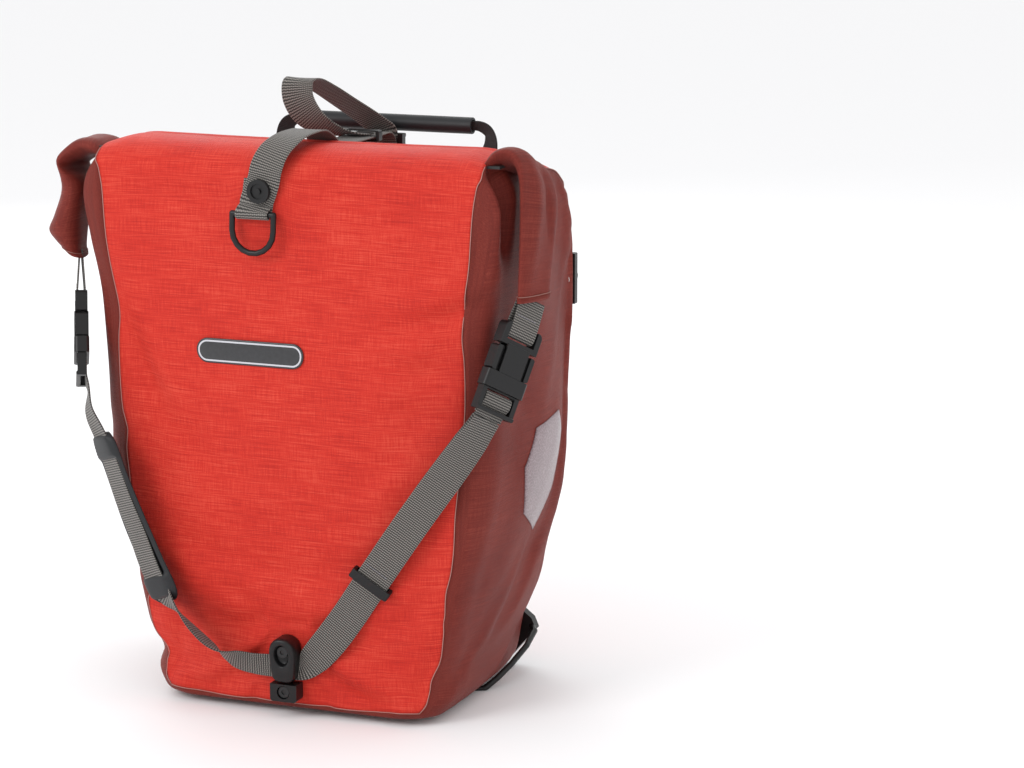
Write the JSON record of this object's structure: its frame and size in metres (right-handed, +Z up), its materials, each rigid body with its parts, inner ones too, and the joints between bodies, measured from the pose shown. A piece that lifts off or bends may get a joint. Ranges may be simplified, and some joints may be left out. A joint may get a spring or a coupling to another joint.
{
  "type": "pannier bag",
  "caption": "Roll-top waterproof bicycle pannier with a rigid back, rack hooks on a rail, a lift handle, a swinging stay hook, a buckled shoulder strap and an edge guard.",
  "frame": {"origin": "middle of the base, on the surface the bag stands on", "axes": "+Z up, +X to the right for somebody facing the front, +Y to the back where the bicycle rack is"},
  "size_m": [0.378, 0.2362, 0.4515],
  "materials": {
    "red_fabric": "coated weave, matt, flecked",
    "dark_fabric": "coated weave, matt, flecked",
    "inner_board": "matt",
    "grey_webbing": "ribbed weave",
    "black_webbing": "ribbed weave",
    "black_plastic": "satin, fine grain",
    "grey_plastic": "satin",
    "black_screw": "black satin",
    "steel": "bright",
    "rubber": "matt",
    "reflector": "silver reflective film",
    "badge": "plain, no mark"
  },
  "bodies": {
    "bag": {"anchor_strap": "black_webbing", "back_panel": "red_fabric", "back_stiffener": "inner_board", "badge": "badge", "edge_guard": "black_plastic", "edge_guard_screws": "black_screw", "front_panel": "red_fabric", "inner_nuts": "steel", "left_buckle_plug": "black_plastic", "left_buckle_socket": "black_plastic", "left_end_tab": "grey_webbing", "lower_rail": "grey_plastic", "lower_rail_screws": "black_screw", "mounting_rail": "black_plastic", "rail_end_caps": "black_plastic", "rail_screws": "black_screw", "rear_buckle_plug": "black_plastic", "rear_buckle_socket": "black_plastic", "reflector_left": "reflector", "reflector_right": "reflector", "right_buckle_plug": "black_plastic", "right_buckle_socket": "black_plastic", "right_end_tab": "grey_webbing", "roll_closure": "red_fabric", "roll_end_left": "dark_fabric", "roll_end_right": "dark_fabric", "roll_stiffener": "inner_board", "shoulder_pad": "rubber", "shoulder_strap": "grey_webbing", "shoulder_strap_slider": "black_plastic", "shoulder_strap_tail": "grey_webbing", "side_gusset": "dark_fabric", "strap_hook": "black_plastic", "strap_hook_base": "black_plastic", "strap_hook_screws": "black_screw", "strap_rivet": "black_plastic", "top_strap": "grey_webbing", "top_strap_slider": "black_plastic"},
    "handle_grip": {"handle_grip": "rubber"},
    "handle_leg_left": {"handle_leg_left": "black_webbing"},
    "handle_leg_right": {"handle_leg_right": "black_webbing"},
    "hook_left": {"hook_body_left": "black_plastic", "hook_pin_left": "steel"},
    "hook_right": {"hook_body_right": "black_plastic", "hook_pin_right": "steel"},
    "pawl_left": {"hook_pawl_left": "black_plastic"},
    "pawl_right": {"hook_pawl_right": "black_plastic"},
    "lock_left": {"hook_lock_left": "black_plastic"},
    "lock_right": {"hook_lock_right": "black_plastic"},
    "stay_slider": {"stay_hook_slider": "black_plastic"},
    "stay_fin": {"stay_hook_fin": "black_plastic"},
    "stay_knob": {"stay_hook_knob": "black_plastic"},
    "d_ring": {"d_ring": "black_plastic"},
    "rear_prong_left": {"rear_buckle_prong_left": "black_plastic"},
    "rear_prong_right": {"rear_buckle_prong_right": "black_plastic"},
    "left_prong_front": {"left_buckle_prong_front": "black_plastic"},
    "left_prong_rear": {"left_buckle_prong_rear": "black_plastic"},
    "right_prong_front": {"right_buckle_prong_front": "black_plastic"},
    "right_prong_rear": {"right_buckle_prong_rear": "black_plastic"}
  },
  "joints": [
    {"name": "handle_lift", "type": "slide", "parent": "bag", "child": "handle_grip", "axis": [0, 0, 1], "range_m": [0, 0.005]},
    {"name": "hook_left_slide", "type": "slide", "parent": "bag", "child": "hook_left", "axis": [-1, 0, 0], "range_m": [0, 0.024]},
    {"name": "leg_left_lift", "type": "slide", "parent": "hook_left", "child": "handle_leg_left", "axis": [0, 0, 1], "range_m": [0, 0.005]},
    {"name": "pawl_left_turn", "type": "hinge", "parent": "hook_left", "child": "pawl_left", "pos_m": [-0.068, 0.113, 0.353], "axis": [1, 0, 0], "range_deg": [-24.2, 0]},
    {"name": "lock_left_turn", "type": "hinge", "parent": "hook_left", "child": "lock_left", "pos_m": [-0.068, 0.108, 0.308], "axis": [1, 0, 0], "range_deg": [0, 70]},
    {"name": "hook_right_slide", "type": "slide", "parent": "bag", "child": "hook_right", "axis": [1, 0, 0], "range_m": [0, 0.024]},
    {"name": "leg_right_lift", "type": "slide", "parent": "hook_right", "child": "handle_leg_right", "axis": [0, 0, 1], "range_m": [0, 0.005]},
    {"name": "pawl_right_turn", "type": "hinge", "parent": "hook_right", "child": "pawl_right", "pos_m": [0.068, 0.113, 0.353], "axis": [1, 0, 0], "range_deg": [-24.2, 0]},
    {"name": "lock_right_turn", "type": "hinge", "parent": "hook_right", "child": "lock_right", "pos_m": [0.068, 0.108, 0.308], "axis": [1, 0, 0], "range_deg": [0, 70]},
    {"name": "stay_hook_travel", "type": "hinge", "parent": "bag", "child": "stay_slider", "pos_m": [0, 0.088, 0.248], "axis": [0, 1, 0], "range_deg": [-32, 14]},
    {"name": "stay_fin_turn", "type": "hinge", "parent": "stay_slider", "child": "stay_fin", "pos_m": [-0.02581, 0.097, 0.08503], "axis": [0, 1, 0], "range_deg": [-70, 70]},
    {"name": "stay_knob_turn", "type": "hinge", "parent": "stay_slider", "child": "stay_knob", "pos_m": [-0.02581, 0.097, 0.08503], "axis": [0, 1, 0], "continuous": true},
    {"name": "d_ring_swing", "type": "hinge", "parent": "bag", "child": "d_ring", "pos_m": [-0.021, -0.0896, 0.368], "axis": [1, 0, 0], "range_deg": [-120, 0]},
    {"name": "rear_prong_left_press", "type": "slide", "parent": "bag", "child": "rear_prong_left", "axis": [1, 0, 0], "range_m": [0, 0.0028], "stiffness_N_per_m": 800},
    {"name": "rear_prong_right_press", "type": "slide", "parent": "bag", "child": "rear_prong_right", "axis": [-1, 0, 0], "range_m": [0, 0.0028], "stiffness_N_per_m": 800},
    {"name": "right_prong_front_press", "type": "slide", "parent": "bag", "child": "right_prong_front", "axis": [0.4462, 0.7728, -0.4514], "range_m": [0, 0.0028], "stiffness_N_per_m": 800},
    {"name": "right_prong_rear_press", "type": "slide", "parent": "bag", "child": "right_prong_rear", "axis": [-0.4462, -0.7728, 0.4514], "range_m": [0, 0.0028], "stiffness_N_per_m": 800},
    {"name": "left_prong_front_press", "type": "slide", "parent": "bag", "child": "left_prong_front", "axis": [-0.4462, 0.7728, -0.4514], "range_m": [0, 0.0028], "stiffness_N_per_m": 800},
    {"name": "left_prong_rear_press", "type": "slide", "parent": "bag", "child": "left_prong_rear", "axis": [0.4462, -0.7728, 0.4514], "range_m": [0, 0.0028], "stiffness_N_per_m": 800}
  ],
  "couplings": [
    {"joint": "leg_left_lift", "follows": "handle_lift", "ratio": 1},
    {"joint": "pawl_left_turn", "follows": "handle_lift", "rad_per_m": -83.7},
    {"joint": "leg_right_lift", "follows": "handle_lift", "ratio": 1},
    {"joint": "pawl_right_turn", "follows": "handle_lift", "rad_per_m": -83.7}
  ]
}
